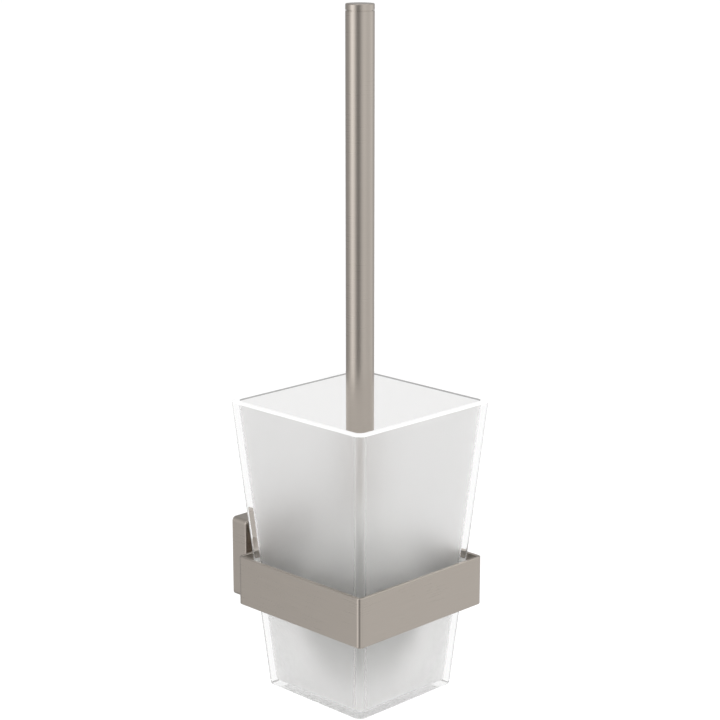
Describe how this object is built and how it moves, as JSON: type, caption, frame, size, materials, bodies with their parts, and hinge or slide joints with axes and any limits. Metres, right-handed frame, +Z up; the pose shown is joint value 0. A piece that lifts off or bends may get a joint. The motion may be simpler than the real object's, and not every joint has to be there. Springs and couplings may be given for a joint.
{
  "type": "toilet brush holder",
  "caption": "Wall-mounted toilet brush holder: a square metal ring on a short arm carries a tapered satin glass, and a brush with a slim round handle stands in it.",
  "frame": {"origin": "on the wall, at the middle of the rosette's back, where the wall bracket's back face lies", "axes": "+Y points into the wall, the room is on the -Y side and the front faces -Y, +Z is up, +X to the right as seen from the room"},
  "size_m": [0.1058, 0.1359, 0.393],
  "materials": {
    "brushed_nickel": "fine brushed warm nickel plating",
    "bracket_steel": "plain zinc-plated steel, hidden in the rosette",
    "screw_steel": "plain stainless fasteners",
    "bush_brass": "turned brass, hidden in the tube",
    "satin_glass": "clear pressed glass, satin etched on the inside",
    "collar_plastic": "moulded natural white plastic",
    "core_plastic": "moulded white plastic",
    "bristle": "white nylon filament",
    "o_ring_rubber": "black rubber"
  },
  "bodies": {
    "holder": {"wall_bracket": "bracket_steel", "rosette": "brushed_nickel", "grub_screw": "screw_steel", "holder_arm": "brushed_nickel", "arm_screw": "screw_steel", "arm_pins": "screw_steel", "holder_ring": "brushed_nickel", "ring_screws": "screw_steel", "glass_collar": "collar_plastic"},
    "glass": {"glass_tumbler": "satin_glass"},
    "brush": {"handle_tube": "brushed_nickel", "end_cap": "brushed_nickel", "cap_o_ring": "o_ring_rubber", "thread_bush": "bush_brass", "brush_core": "core_plastic", "bristle_row_01": "bristle", "bristle_row_02": "bristle", "bristle_row_03": "bristle", "bristle_row_04": "bristle", "bristle_row_05": "bristle", "bristle_row_06": "bristle", "bristle_row_07": "bristle", "bristle_row_08": "bristle", "bristle_row_09": "bristle", "bristle_row_10": "bristle", "bristle_row_11": "bristle", "bristle_end": "bristle"}
  },
  "joints": [
    {"name": "glass_lift", "type": "slide", "parent": "holder", "child": "glass", "axis": [0, 0, 1], "range_m": [0, 0.09]},
    {"name": "brush_lift", "type": "slide", "parent": "glass", "child": "brush", "axis": [0, 0, 1], "range_m": [0, 0.175]}
  ]
}
